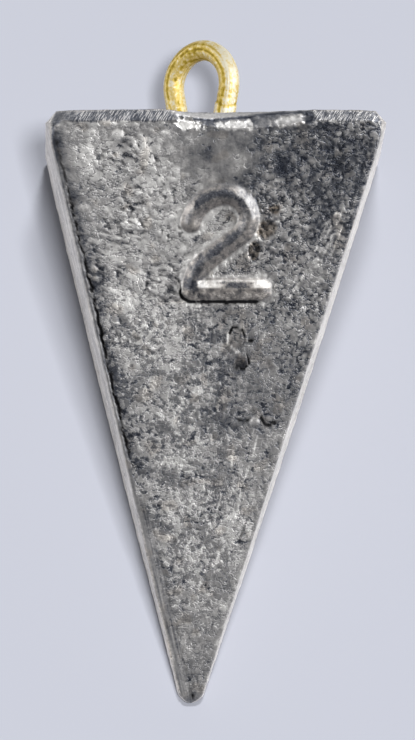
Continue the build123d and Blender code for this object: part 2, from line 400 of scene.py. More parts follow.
def raise_number(skin, u, q):
    """The number as beads along its curved stroke and its bar, which replace the skin under them: dark
    crests, flanks at the bowl's upper right and along the bar's top painted bright as highlights, a smooth
    pale border where the mould was cut, and a groove below the bar and round its left corner that is painted
    black as its shadow."""
    v = -q
    below_bar = q + NUMBER_CORNER[1]
    speckle = layered(on_face(u, q), 0.42, 95, 3)
    stroke = stroke_distance(u, v)
    bar = path_distance(u, v, (NUMBER_CORNER, bar_end)) * (1 - 0.13 * ramp(below_bar, 0.0, 0.3))
    nearest = np.minimum(stroke, bar)
    clear = ramp(nearest, BEAD_HALF - 0.06, BEAD_HALF + 0.16)
    on_bead = 1 - ramp(nearest, BEAD_HALF - 0.08, BEAD_HALF + 0.02)
    border = (1 - on_bead) * (1 - ramp(nearest + 0.12 * speckle, BEAD_HALF + 0.1, BEAD_HALF + 0.42))
    border *= (1 - ramp(u - 0.4 * (q - 4), 1.4, 2.2)) * ramp(q, 4.6, 5.6)
    bar_front = on_bead * ramp(below_bar, 0.02, 0.14) * (1 - ramp(bar, BEAD_HALF - 0.1, BEAD_HALF))

    outside = np.hypot(u - bowl_middle[0], v - bowl_middle[1]) - BOWL_RADIUS
    bowl_angle = np.arctan2(v - bowl_middle[1], u - bowl_middle[0])
    # Painted highlights: the bowl's outer flank at its upper right and the bar's top flank, mostly at its
    # ends, are painted paler where light catches them.
    bowl_flank_highlight = on_bead * ramp(outside + 0.05 * speckle, 0.1, 0.17) * ramp(v, -6.3, -5.8)
    bowl_flank_highlight *= ramp(bowl_angle + 0.05 * speckle, -0.08, 0.06)
    bowl_flank_highlight *= 1 - ramp(bowl_angle + 0.15 * speckle, 1.1, 1.25)
    above_bar = ramp(0.04 * speckle - below_bar, 0.06, 0.13) * (1 - ramp(bar, 0.5, 0.6))
    bar_ends = 1 - ramp(u + 0.4 * speckle, -0.1, 0.6) + ramp(u + 0.3 * speckle, 1.9, 2.5)
    bar_flank_highlight = above_bar * ramp(u, -1.2, -1.0) * np.clip(bar_ends + 0.8 * bump(bar - 0.5, 0.06), 0, 1)
    bright = np.clip(bowl_flank_highlight + bar_flank_highlight, 0, 1) * np.clip(0.85 + 0.5 * speckle, 0, 1)

    darkest = np.maximum(area(u, q, *DARK_BOWL), 0.8 * area(u, q, *DARK_NECK))
    # The crest darkens along a line shifted up and left of the stroke's middle.
    worn = stroke_distance(u + CREST_SHIFT, v - CREST_SHIFT) + 0.1 * speckle
    crest = on_bead * (1 - ramp(worn, 0.09, 0.27)) * (0.2 + 0.8 * darkest)
    crest = crest * np.clip(0.9 + 0.8 * speckle, 0, 1.2) + above_bar * ramp(speckle, -0.25, 0.2)
    crest *= (1 - bright) * (1 - 0.8 * bar_front)

    skin["height"] = skin["height"] * (0.15 + 0.85 * clear) + np.maximum(bead(stroke), bead(bar))
    skin["height"] += 0.03 * on_bead * speckle - 0.06 * on_bead * bump(nearest, 0.2)
    skin["tone"] = skin["tone"] * clear + (1 - clear) * (0.355 + 0.14 * speckle) + 0.2 * border
    # The painted flank highlights go into the tone here.
    skin["tone"] += 0.36 * bar_flank_highlight + 0.03 * bowl_flank_highlight + bar_front * (0.17 + 0.25 * speckle)
    skin["tone"] -= 0.21 * crest + 0.07 * on_bead * area(u, q, *DARK_FOOT)
    skin["brown"] = skin["brown"] * clear + on_bead * (0.22 + 0.2 * ramp(worn, 0.12, 0.3)) * (1 - bright)
    skin["shine"] = skin["shine"] * clear + 0.1 * on_bead
    fade(skin, 1 - clear * (1 - 0.7 * border), ("grime_and_shade", *FINE_MARKS))
    skin["fleck"] += 0.4 * on_bead
    skin["pit"] += 0.8 * np.clip(crest, 0, 1)
    skin["crevice"] += 0.5 * np.clip(crest, 0, 1) + 0.35 * bar_front

    corner = np.hypot(u - NUMBER_CORNER[0], v - NUMBER_CORNER[1])
    below = ramp(below_bar, 0.25, 0.5) * (1 - ramp(u, bar_end[0] - 0.4, bar_end[0] + 0.1))
    round_corner = ramp(-u, 1.7, 1.9) * ramp(below_bar, -0.3, 0.3) * (1 - ramp(corner, 0.75, 0.9))
    # The groove below the bar and round its corner is cut in and also painted nearly black, as the shadow
    # under the bar.
    undercut_and_shadow = bump(bar - BEAD_HALF - 0.07 - 0.07 * speckle, UNDERCUT_WIDTH) * np.maximum(below, round_corner)
    skin["height"] -= UNDERCUT_DEPTH * undercut_and_shadow
    skin["grime_and_shade"] += 2.2 * undercut_and_shadow


# The front's long edges: how far in from the left one the flash tore off, and between which drops
SEAM_GAP = 0.34
SEAM_WIDTH = 0.11
SEAM_DEPTH = 0.15
SEAM_BEGINS = (0.2, 1.2)
SEAM_ENDS = (18.5, 21.5)
# The facet that was filed on the lower part of the left edge, on the front and on the side
FACET_WIDTH = 0.72
FACET_DEPTH = 0.32
FACET_BEGINS = (22.0, 25.0)
# The right edge's nicked stretch, its worn line and its lifted chip
NICKED_STRETCH = ((2.2, 23.0), (3.0, 3.4))
RUB_GAP = 0.36
RUB_ENDS = (5.0, 9.0)
CHIP_GAP = 0.42
CHIP_DROP = 24.5
CHIP_BACK_GAP = 0.75


def left_edge(skin, u, q, gap):
    """The front's left edge: a ragged dark seam where the flash was torn off, painted dark as the shade in
    its groove, a plain dark margin between it and the edge with a paler line on the edge itself, a smoother,
    darker strip in the seam's lee, and painted shade in a band just inside the seam and at the edge's top
    corner."""
    flat = on_face(u, q)
    along = on_face(q, 0 * q)
    fray = layered(flat, 0.5, 83, 3)
    broken = layered(flat, 0.3, 86, 2)
    inward = gap - (SEAM_GAP + 0.1 * layered(along, 1.5, 81, 3) + 0.11 * fray + 0.1 * broken)
    torn = ramp(q, *SEAM_BEGINS) * (1 - ramp(q, *SEAM_ENDS)) * (0.8 + 0.2 * ramp(q, 3.0, 6.0))
    torn *= ramp(layered(along, 1.1, 84, 3) + 0.4 * fray, -0.9, -0.1)
    seam = torn * bump(inward, SEAM_WIDTH + 0.06 * fray) * ramp(broken + 0.5 * fray, -0.8, -0.1)
    margin = (1 - ramp(inward, -0.12, 0.02)) * ramp(q, 0.6, 2.5)
    edge_line = 1 - ramp(gap, 0.0, 0.12)
    # Painted shade: a darker band just inside the seam and a dark patch at the edge's top corner.
    shade = torn * bump(inward - 0.2, 0.25) + 2.6 * bump(gap, 0.4) * (1 - ramp(q, 1.0, 3.0))
    margin_tone = 0.36 + 0.2 * edge_line + 0.12 * fray
    skin["height"] = skin["height"] * (1 - 0.8 * margin) - SEAM_DEPTH * seam - 0.05 * shade
    skin["tone"] = skin["tone"] * (1 - margin) + margin * margin_tone - 0.16 * shade
    skin["shine"] -= 0.2 * shade
    # Painted shade: the seam's groove is darkened, as the shade inside it.
    skin["grime_and_shade"] = skin["grime_and_shade"] * (1 - margin) + (1.1 + 0.5 * ramp(q, 7.0, 10.0)) * seam
    fade(skin, margin)

    lee = bump(inward - 0.3, 0.4) * (1 - ramp(q, 8.0, 13.0))
    skin["height"] *= 1 - 0.5 * lee
    skin["tone"] -= 0.05 * lee + 0.09 * bump(gap - 0.95, 0.65) * (1 - ramp(q, 26.0, 30.0))
    fade(skin, 0.5 * lee)


def facet_cut(q, front_share, side_share=0.0):
    """How far a place lies beyond the filed facet, which takes off the lower part of the front left edge: 1
    on the sharp edge, 0 where the shares of the facet's width on the front and its depth on the side add up
    to 1."""
    return np.clip(1 - front_share - side_share, 0, None) * ramp(q, *FACET_BEGINS)


def filed_facet(skin, u, q, gap):
    """The filed facet's finish: a level strip with streaks along it, and a broken dark line where it ends."""
    fray = layered(on_face(u, q), 0.5, 83, 3)
    on_facet = ramp(facet_cut(q, gap / FACET_WIDTH + 0.12 * fray), 0, 0.08)
    streak = grain(on_face(gap, 0.06 * q), 0.11, 85)
    skin["height"] = skin["height"] * (1 - 0.85 * on_facet) + 0.014 * streak * on_facet
    skin["tone"] = skin["tone"] * (1 - on_facet) + on_facet * (0.4 + 0.16 * streak + 0.05 * fray)
    fade(skin, 0.6 * on_facet)
    end_line = ramp(q, *FACET_BEGINS) * bump(gap - FACET_WIDTH - 0.04, 0.08)
    skin["grime_and_shade"] += 0.5 * end_line * ramp(fray, -0.2, 0.4)


def right_edge(skin, u, q, gap):
    """The front's right edge: relief that dies out towards it, a worn light line along it with a few nicks, a
    thin rubbed line inside its upper part, and a lifted pale chip with a dark line behind it lower down."""
    flat = on_face(u, q)
    fray = layered(flat, 0.5, 83, 3)
    worn = bump(gap - 0.12, 0.12)
    nick = bump(gap - 0.15, 0.2) * ramp(grain(flat, 0.55, 87), 0.1, 0.35) * area(u, q, *NICKED_STRETCH)
    rub_line = bump(gap - RUB_GAP - 0.08 * fray, 0.06) * (1 - ramp(q, *RUB_ENDS)) * ramp(fray, -0.7, 0.1)
    chip = bump(gap - CHIP_GAP, 0.22) * bump(q - CHIP_DROP, 0.9) * ramp(fray, -0.3, 0.2)
    behind_chip = bump(gap - CHIP_BACK_GAP - 0.1 * fray, 0.06) * bump(q - CHIP_DROP - 0.1, 0.8)
    skin["height"] *= 0.35 + 0.65 * ramp(gap, 0.05, 0.7)
    skin["height"] += 0.03 * chip - 0.05 * behind_chip - 0.05 * nick
    skin["tone"] += 0.04 * worn * (1 + fray) + 0.18 * rub_line + 0.22 * chip - 0.1 * nick
    # Painted shadow: the line behind the lifted chip is darkened, as the shadow under it.
    skin["grime_and_shade"] += 0.6 * behind_chip
    fade(skin, worn, ("pit",))
    fade(skin, 0.7 * bump(gap, 0.4), ("fleck",))


# The gate's scoop in the front bevel: the round cut of the nippers, and the lower edge of the smooth band
# along the base as places along the rim with their heights
NIP_MIDDLE = 1.6
NIP_RADIUS = 19.0
NIP_DEPTH = 0.42
BAND_PLACES = (-2.6, -1.3, -0.3, 1.7, 3.3)
BAND_EDGES = (-0.3, -0.14, -0.1, -0.29, -0.47)
# Each torn facet's middle and half size, its slant, how much of it shows, and how much painted glint it
# adds and how much hollower it is
TORN_FACETS = (((-1.7, 0.24), (1.0, 0.38), 0.2, 1.4, 0.1),
               ((1.2, 0.32), (1.05, 0.36), 0.06, 0.95, 0.0),
               ((4.4, 0.06), (1.1, 0.36), -0.12, 0.75, 0.0))
NOTCH = ((5.4, -0.08), (0.42, 0.3))
# Heights on the bevel are shortened by this share against the face, as they are when seen from the front
BEVEL_SHORTENING = 0.87


def scoop_depth(u):
    """How deep the nippers cut below the bevel: their depth in the middle, less the sag of their round."""
    return NIP_DEPTH - (u - NIP_MIDDLE) ** 2 / (2 * NIP_RADIUS)


def rim_marks(skin, u, q, sunk):
    """The front bevel: slanting file marks at both sides of the scoop, and in the scoop, where the rim is
    sunk, a smooth band along the base with a painted shadow line under it, torn dark metal below it with
    three bright facets, of which the first is hollow and has a painted glint, and a dark notch at the right
    end."""
    height = q * np.where(q < 0, BEVEL_SHORTENING, 1.0) + sunk
    flat = on_face(u, height)
    uneven = layered(flat, 0.6, 171, 3)
    jagged = layered(flat * [1, 0.8, 1], 0.45, 175, 3)
    chipped = layered(flat, 0.26, 177, 2)
    on_bevel = 1 - ramp(q + 0.14 * uneven, 0.02, 0.22)
    in_scoop = ramp(scoop_depth(u), -0.08, 0.06) * (1 - ramp(height + 0.15 * uneven, 0.45, 0.8))
    scar = np.clip(in_scoop * ramp(u, -2.9, -2.3), 0, 1)
    right = ramp(u, 0, 6)
    fade(skin, np.maximum(on_bevel, scar))
    fade(skin, on_bevel, ("grime_and_shade", "brown"))
    skin["hatch"] = on_bevel * (1 - scar) * (0.15 + 0.85 * ramp(u + 0.8 * uneven, -9.0, -7.6))
    skin["height"] = skin["height"] * (1 - 0.7 * on_bevel) + 0.02 * uneven * on_bevel
    skin["tone"] = skin["tone"] * (1 - on_bevel) + on_bevel * (0.27 + 0.05 * right + 0.08 * uneven)
    lip = bump(q - 0.14 + 0.14 * uneven, 0.09) * (1 - scar) * ramp(uneven, -0.5, 0.2)
    skin["tone"] += lip * (0.12 + 0.2 * right) * (1 - ramp(u, 8.8, 9.6))

    below_band = height - np.interp(u, BAND_PLACES, BAND_EDGES)
    band = scar * (1 - ramp(below_band, -0.05, 0.02))
    # Painted shadow: a dark line just under the smooth band.
    under = scar * bump(below_band - 0.07, 0.07)
    facets, glint = 0, 0
    for middle, size, slant, shown, extra in TORN_FACETS:
        tilted = height - slant * (u - middle[0])
        facet = ramp(area(u, tilted, middle, size, 0.5 * uneven + 0.45 * jagged), 0.15, 0.75)
        facets, glint = facets + shown * facet, glint + extra * facet
    facets = scar * (1 - band) * np.clip(facets * (1 + 0.5 * chipped), 0, 1)
    torn = scar * (1 - band) * (1 - facets)
    notch = area(u, height, *NOTCH, 0.3 * uneven)
    skin["tone"] = skin["tone"] * (1 - scar) + band * (0.46 + 0.04 * uneven)
    skin["tone"] += facets * (0.69 + glint + 0.1 * chipped) + torn * (0.28 + 0.22 * uneven)
    skin["tone"] -= 0.2 * under + 0.25 * notch
    skin["shine"] = skin["shine"] * (1 - scar) + band * 0.45 + facets * 0.65 + torn * 0.5
    skin["height"] *= 1 - 0.95 * band
    skin["height"] += torn * 0.06 * uneven - 0.05 * under - 0.14 * notch - 0.03 * facets
    skin["height"] -= 4.0 * glint * facets * np.clip(0.55 - height, 0, 0.6)


def front_skin(u, q, left_gap, right_gap, sunk):
    """The front face's height and finish, as rows: the skin of the mould, then each mark upon it."""
    skin = mould_skin(u, q)
    pour_marks(skin, u, q)
    handling_marks(skin, u, q)
    raise_number(skin, u, q)
    left_edge(skin, u, q, left_gap)
    filed_facet(skin, u, q, left_gap)
    right_edge(skin, u, q, right_gap)
    rim_marks(skin, u, q, sunk)
    return as_rows(skin)


def plain_skin(p, q, calm):
    """The other faces' height and finish, as rows: lumps, pebbled and flecked parts that change over with
    the place, all lower where the skin is calm, as on the base and on the two side walls. The walls have
    streaks that run down towards the point and a painted highlight along the back edge, and the bevel has
    file marks."""
    drop = -p[:, 2]
    wide = side_half(drop)
    swell = layered(p, 4.0, 121, 2)
    lumps = layered(p, 1.4, 131, 3, True)
    small = layered(p, 0.6, 135, 2, True)
    mixed = ramp(layered(p, 6.0, 151, 2), -0.2, 0.35) * (1 - calm)
    pebbles = np.minimum(layered(p, 0.7, 143, 3, True), PEBBLE_TOP) * mixed
    down_wall = on_face(p[:, 1] / wide * RIM_HALF, 0.06 * p[:, 2])
    streak = calm * ramp(drop, BEVEL, 2 * BEVEL) * layered(down_wall, 1.1, 155, 3)
    on_base = 1 - ramp(drop, 0.0, 0.1)
    on_wall = calm * (1 - on_base)
    # Painted highlight: the walls are paler along their back edges.
    back_edge_highlight = on_wall * bump(wide - p[:, 1], 0.6)
    relief = (1 - 0.75 * calm) * (0.04 * swell + 0.05 * lumps + 0.025 * small)
    tone = 0.48 - 0.12 * on_base + 0.125 * on_wall + 0.06 * swell + 0.05 * lumps + 0.04 * small
    tone += 0.1 * pebbles - 0.1 * mixed + 0.08 * streak + 0.18 * back_edge_highlight
    return as_rows({
        "height": relief + 0.05 * pebbles + 0.02 * streak,
        "tone": tone,
        "grime_and_shade": 0 * tone,
        "brown": 0.2 * ramp(grain(p, 1.2, 161), 0.3, 0.6) + 0.3 * calm,
        "shine": 0.35 + 0.2 * mixed + 0.25 * on_wall,
        "fleck": 0.4 + 0.5 * ramp(swell, 0.1, -0.3),
        "pit": 0 * tone + 0.6,
        "crevice": 0.8 * mixed + 0.3 * ramp(swell, 0.0, 0.5),
        "hatch": 0.6 * ramp(drop, 0.0, 0.08) * (1 - ramp(q, -0.12, 0.06)),
    })


# How the casting is divided: columns round each ring, which halve where it narrows, and rows down it
FRONT_COLUMNS = 256
OTHER_COLUMNS = 64
NUMBER_COLUMNS = (0.53, 0.2, 1.2)
BASE_EDGES = (0.3, 0.9, 2.6, 5.6, 8.2, RIM_HALF - BEVEL)
BASE_STEPS = (0.15, 0.12, 0.25, 0.29, 0.2)
BEVEL_ROWS = 9
TOP_ROWS = 150
NUMBER_ROWS = (0.41, 0.2, 1.0)
RIM_ROWS = (0.0, 0.06, 2.0)
ROW_STEP = 0.148
HALVING_WIDTHS = (5.2, 2.6, 1.3)
TIP_ROUND_START = 33.45
TIP_END = 34.06
TIP_ROWS = 8


def crowded(count, *hills):
    """Shares from 0 to 1, closer together about the middle of each hill: where they lie follows from adding
    up a density of 1 with hills on it, each given by its middle, its width and its extra density."""
    share = np.linspace(0, 1, 2001)
    climb = np.cumsum(1 + sum(extra * bump(share - middle, width) for middle, width, extra in hills))
    return np.interp(np.linspace(climb[0], climb[-1], count + 1), climb, share)


def columns(level):
    """The ring's columns, halved once per level: each one's side (front, right, back, left) and share along
    it. The front's columns crowd together where the number is."""
    counts = [n >> level for n in (FRONT_COLUMNS, OTHER_COLUMNS, OTHER_COLUMNS, OTHER_COLUMNS)]
    side = np.repeat(np.arange(4), counts)
    front = crowded(FRONT_COLUMNS, NUMBER_COLUMNS)[:-1 : 1 << level]
    share = np.concatenate([front] + [np.arange(n) / n for n in counts[1:]])
    return side, share


def casting_bands():
    """Rows of rings from the middle of the base, over the bevel and down to the tip. Each band has its
    level of columns, and its rows have a half width, a drop, and the shares of outward, upward and sloping
    in their normal. The rows of the top band crowd together at the rim and where the number is."""
    bands = []
    for level, inner, outer, step in zip((4, 3, 2, 1, 0), BASE_EDGES, BASE_EDGES[1:], BASE_STEPS):
        half = np.linspace(inner, outer, round((outer - inner) / step) + 1)
        half = half if level == 0 else half[:-1]
        bands.append((level, half, 0 * half, 0 * half, 0 * half + 1, 0 * half))
    share = np.linspace(0, 1, BEVEL_ROWS + 1)[1:]
    bands.append((0, RIM_HALF - BEVEL * (1 - share), BEVEL * share, 0 * share + 1, 1 - share, share))
    halvings = [BEVEL + POINT_DROP * (1 - half / RIM_HALF) for half in HALVING_WIDTHS]
    edges = [BEVEL, *halvings, TIP_ROUND_START]
    for level, (top, end) in enumerate(zip(edges, edges[1:])):
        if level == 0:
            drop = top + (end - top) * crowded(TOP_ROWS, NUMBER_ROWS, RIM_ROWS)[1:]
        else:
            drop = np.linspace(top, end, round((end - top) / np.cos(FACE_LEAN) / ROW_STEP) + 1)[1:]
        bands.append((level, side_half(drop), drop, 0 * drop + 1, 0 * drop, 0 * drop + 1))
    share = np.sin(np.linspace(0, np.pi / 2, TIP_ROWS + 1))[1:-1]
    drop = TIP_ROUND_START + (TIP_END - TIP_ROUND_START) * share
    dome = np.sqrt(1 - share**2)
    bands.append((4, side_half(drop) * dome, drop, dome, -share, dome))
    return bands


# The rounding of the long edges, which sharpens towards the point, and the bow of the two side walls
EDGE_RADIUS = 0.22
EDGE_SHARPENING = 0.75
SIDE_BOW = 0.13


def bare_band(level, half, drop, outward, upward, sloping):
    """One band's points, normals and outward directions before it gets its skin: each ring is a square with
    rounded corners, moved sideways with the point's shift, and its two side walls bow out between the rim and
    the point, more towards the back. A normal leans up or down as the band and the slope of its wall say."""
    side, share = columns(level)
    half, drop = half[:, None], drop[:, None]
    along = (2 * share - 1) * half
    edge = half + 0 * along
    square = np.stack([np.choose(side, [along, edge, -along, -edge]),
                       np.choose(side, [-edge, along, edge, -along])], -1)
    fallen = np.clip((drop - BEVEL) / POINT_DROP, 0, 1)
    radius = np.minimum(EDGE_RADIUS * (1 - EDGE_SHARPENING * ramp(fallen, 0.1, 0.7)), half)[..., None]
    reach = half[..., None] - radius
    inner = np.clip(square, -reach, reach)
    out = square - inner
    out = out / np.linalg.norm(out, axis=-1, keepdims=True)
    ring = inner + radius * out
    bow = SIDE_BOW * np.sin(np.pi * fallen) * (ring[..., 1] / half + 1) / 2
    x = ring[..., 0] + POINT_SHIFT * fallen + bow * np.sign(out[..., 0]) * out[..., 0] ** 2
    points = np.stack([x, ring[..., 1], -drop + 0 * x], -1)

    side_run = np.where(out[..., 0] > 0, RIM_HALF - POINT_SHIFT, RIM_HALF + POINT_SHIFT)
    slope = (side_run * out[..., 0] ** 2 + RIM_HALF * out[..., 1] ** 2) / POINT_DROP
    lift = (upward[:, None] - sloping[:, None] * slope)[..., None]
    normal = np.concatenate([out * outward[:, None, None], lift], -1)
    normal = normal / np.linalg.norm(normal, axis=-1, keepdims=True)
    return points.reshape(-1, 3), normal.reshape(-1, 3), out.reshape(-1, 2)


# The base: its arch from side to side, its dip behind the gate with the stretches over which it sets in and
# dies out, its worn corners, and the lead collars round the wire's two legs, each in a shallow dish
BASE_ARCH = 0.13
BASE_DIP = 0.16
DIP_BEGINS = (-3.5, -1.5)
DIP_ENDS = (-1.0, 7.0)
DIP_FRONT = (5.0, 9.0)
CORNER_WEAR = 0.4
CORNER_REACH = 0.8
CORNER_LIFT = 0.35
LEG_FEET = ((0.43, -1.02), (-2.01, 1.02))
COLLAR_RADIUS = 0.8
COLLAR_WIDTH = 0.2
COLLAR_RISE = 0.2
DISH_RADIUS = 1.5
DISH_WIDTH = 0.4
DISH_DEPTH = 0.08
# Round a long edge the front or the back takes over between these shares of the outward direction
FACE_TURN_SHARES = (0.35, 0.85)
BEVEL_OUT = np.array([0, -1, 1]) / np.sqrt(2)
BEVEL_MIDDLE = np.array([0, -RIM_HALF + BEVEL / 2, -BEVEL / 2])


def casting_band(*band):
    """One band's finished points and finish: the bare band is raised along its normals by the skin of the
    side that it is on, and on the back, which lies level, only lowered. The gate's scoop, the filed facet
    and the worn corners are cut away, and the base is arched and dipped."""
    p, normal, out = bare_band(*band)
    x, y, drop = p[:, 0], p[:, 1], -p[:, 2]
    q = (drop - BEVEL) / np.cos(FACE_LEAN)
    middle = POINT_SHIFT * np.clip((drop - BEVEL) / POINT_DROP, 0, 1)
    wide = side_half(drop)
    left_gap, right_gap = x - middle + wide, middle + wide - x
    scoop = scoop_depth(x)
    cut = np.clip((p - BEVEL_MIDDLE) @ BEVEL_OUT + scoop, 0, None) * (scoop > 0)
    calm = np.maximum(ramp(np.abs(out[:, 0]), 0.3, 0.8), 1 - ramp(drop, BEVEL, 1.5))
    skin = plain_skin(p, q, calm)
    is_front = ramp(-out[:, 1], *FACE_TURN_SHARES) * ramp(q + 2 * cut, -0.62, -0.5)
    on_front = is_front > 0
    if on_front.any():
        fields = (x, q, left_gap, right_gap, cut * BEVEL_OUT[2])
        front = front_skin(*(field[on_front] for field in fields))
        skin[:, on_front] += (front - skin[:, on_front]) * is_front[on_front]
    height, finish = skin[0], skin[1:]
    for foot in LEG_FEET:
        away = np.hypot(x - foot[0], y - foot[1])
        collar = COLLAR_RISE * bump(away - COLLAR_RADIUS, COLLAR_WIDTH)
        height = height + (drop < 0.01) * (collar - DISH_DEPTH * bump(away - DISH_RADIUS, DISH_WIDTH))
    is_back = ramp(out[:, 1], *FACE_TURN_SHARES) * ramp(q, -0.3, 0.0)
    height = height - is_back * np.clip(height, 0, None)

    moved = p + normal * height[:, None] - BEVEL_OUT * cut[:, None]
    dip = BASE_DIP * ramp(x, *DIP_BEGINS) * (1 - ramp(x, *DIP_ENDS)) * ramp(-y, *DIP_FRONT)
    moved[:, 2] += (BASE_ARCH * (1 - (x / RIM_HALF) ** 2) - dip) * ramp(-drop, -BEVEL, 0)
    facet_in = np.array([1 / FACET_WIDTH, 1 / FACET_DEPTH, 0])
    beyond = facet_cut(q, left_gap / FACET_WIDTH, (y + wide) / FACET_DEPTH)
    moved = moved + beyond[:, None] * facet_in / (facet_in @ facet_in)
    for corner in np.ndindex(2, 2):
        outwards = np.array([*(2 * np.array(corner) - 1), CORNER_LIFT])
        gap = np.linalg.norm(p - outwards * [RIM_HALF, RIM_HALF, 0] - [0, 0, -BEVEL], axis=-1)
        worn = CORNER_WEAR * bump(gap, CORNER_REACH)
        moved = moved - worn[:, None] * outwards / np.linalg.norm(outwards)
    return moved, finish.T


def casting_faces(bands):
    """Faces between neighbouring rings, pointing outwards: quads where two rings have as many columns, three
    triangles over each coarse column where the count halves or doubles, and a fan at each pole."""
    faces, rings, start = [], [], 0
    for level, half, *_ in bands:
        count = len(columns(level)[0])
        block = start + np.arange(len(half) * count).reshape(-1, count)
        rings += list(block)
        start += block.size
    base_pole, tip_pole = start, start + 1
    for a, b in zip(rings, rings[1:]):
        a_next, b_next = np.roll(a, -1), np.roll(b, -1)
        if len(a) == len(b):
            faces += np.stack([a, b, b_next, a_next], -1).tolist()
        elif len(a) < len(b):
            b0, b1, b2 = b[::2], b[1::2], b_next[1::2]
            for trio in ((a, b0, b1), (a, b1, a_next), (a_next, b1, b2)):
                faces += np.stack(trio, -1).tolist()
        else:
            a0, a1, a2 = a[::2], a[1::2], a_next[1::2]
            for trio in ((a0, b, a1), (a1, b, b_next), (a1, b_next, a2)):
                faces += np.stack(trio, -1).tolist()
    first, last = rings[0], rings[-1]
    faces += np.stack([np.full(len(first), base_pole), first, np.roll(first, -1)], -1).tolist()
    faces += np.stack([last, np.full(len(last), tip_pole), np.roll(last, -1)], -1).tolist()
    return faces


def add_object(name, data):
    """An object that holds this data, linked into the scene."""
    thing = bpy.data.objects.new(name, data)
    bpy.context.scene.collection.objects.link(thing)
    return thing


def piece_from(name, points, faces, finish):
    """A smooth-shaded mesh object of these points and faces, with each finish stored as a point attribute."""
    mesh = bpy.data.meshes.new(name)
    mesh.from_pydata(points, [], faces)
    mesh.polygons.foreach_set("use_smooth", np.ones(len(mesh.polygons), bool))
    for attribute, values in finish.items():
        layer = mesh.attributes.new(attribute, "FLOAT", "POINT")
        layer.data.foreach_set("value", np.ascontiguousarray(values, np.float32))
    mesh.update()
    return add_object(name, mesh)


def new_material(name):
    """A material made of nodes, its node tree and its shader."""
    material = bpy.data.materials.new(name)
    material.use_nodes = True
    return material, material.node_tree, material.node_tree.nodes["Principled BSDF"]


def add_node(tree, kind, settings=None, **sockets):
    """A shader node with its settings, and its input sockets given as plain values or as outputs to link."""
    node = tree.nodes.new(kind)
    for key, value in (settings or {}).items():
        setattr(node, key, value)
    for key, value in sockets.items():
        socket = node.inputs[int(key[1:]) if key[1:].isdigit() else key.replace("_", " ")]
        if isinstance(value, bpy.types.NodeSocket):
            tree.links.new(value, socket)
        else:
            socket.default_value = value
    return node


def reckon(tree, operation, *values):
    """The output of a math node with these inputs."""
    sockets = {f"_{k}": value for k, value in enumerate(values)}
    return add_node(tree, "ShaderNodeMath", {"operation": operation}, **sockets).outputs[0]


def stored(tree, attribute):
    """The value that the mesh stores at each point under this name."""
    return add_node(tree, "ShaderNodeAttribute", {"attribute_name": attribute}).outputs["Fac"]


def noise(tree, place, size, detail, roughness=0.6, output="Fac"):
    """A noise texture with lumps of about this size in millimetres, from 0 to 1 round a middle of 0.5."""
    texture = add_node(tree, "ShaderNodeTexNoise", Vector=place, Scale=1 / (size * MM), Detail=detail,
                       Roughness=roughness)
    return texture.outputs[output]


def distance_along(tree, place, direction):
    """How far a place lies along a direction, times the direction's own length."""
    product = add_node(tree, "ShaderNodeVectorMath", {"operation": "DOT_PRODUCT"}, _0=place, _1=direction)
    return product.outputs["Value"]


def step_up(tree, value, start, end):
    """An eased climb of a texture's value from 0 at start to 1 at end."""
    return add_node(tree, "ShaderNodeMapRange", {"interpolation_type": "SMOOTHSTEP"},
                    Value=value, _1=start, _2=end).outputs[0]


def add_ramp(tree, factor, stops):
    """A colour ramp with stops of a place and a colour."""
    node = add_node(tree, "ShaderNodeValToRGB", Fac=factor)
    elements = node.color_ramp.elements
    while len(elements) < len(stops):
        elements.new(0.5)
    for element, (place, colour) in zip(elements, stops):
        element.position = place
        element.color = (*colour, 1)
    return node.outputs["Color"]


# Lead's greys from darkest to bare, and what a stain and the near-black of dirt and painted shade make of
# them
LEAD_GREYS = [(0.0, (0.008, 0.011, 0.02)), (0.22, (0.056, 0.06, 0.072)), (0.5, (0.296, 0.29, 0.287)),
              (0.8, (0.7, 0.69, 0.675)), (1.0, (0.92, 0.91, 0.89))]
STAIN = (0.8, 0.68, 0.55, 1)
GRIME_AND_SHADE = (0.006, 0.006, 0.008, 1)
DULL_ROUGHNESS = 0.58
SHINY_ROUGHNESS = 0.3
# Directions across and along the front bevel's file marks: the second is short, which draws them out
FILE_ACROSS = (0.917, -0.349, 0.195)
FILE_ALONG = (0.032, 0.064, -0.036)
# The sizes of the finest marks, how far they are bent, and how pits and crevices are slanted and squeezed
FLECK_SIZE = 0.28
FLECK_DRIFT_SIZE = 1.9
PIT_SIZE = 0.46
PIT_CLUSTER_SIZE = 1.5
CREVICE_SIZE = 0.6
FILE_MARK_SIZE = 0.065
FINE_SIZE = 0.15
BEND_SIZE = 0.7
BEND = (0.3 * MM, 0.3 * MM, 0.3 * MM)
PIT_SLANT = (0, 0, 0.35)
PIT_SQUEEZE = (1, 1.5, 1.5)


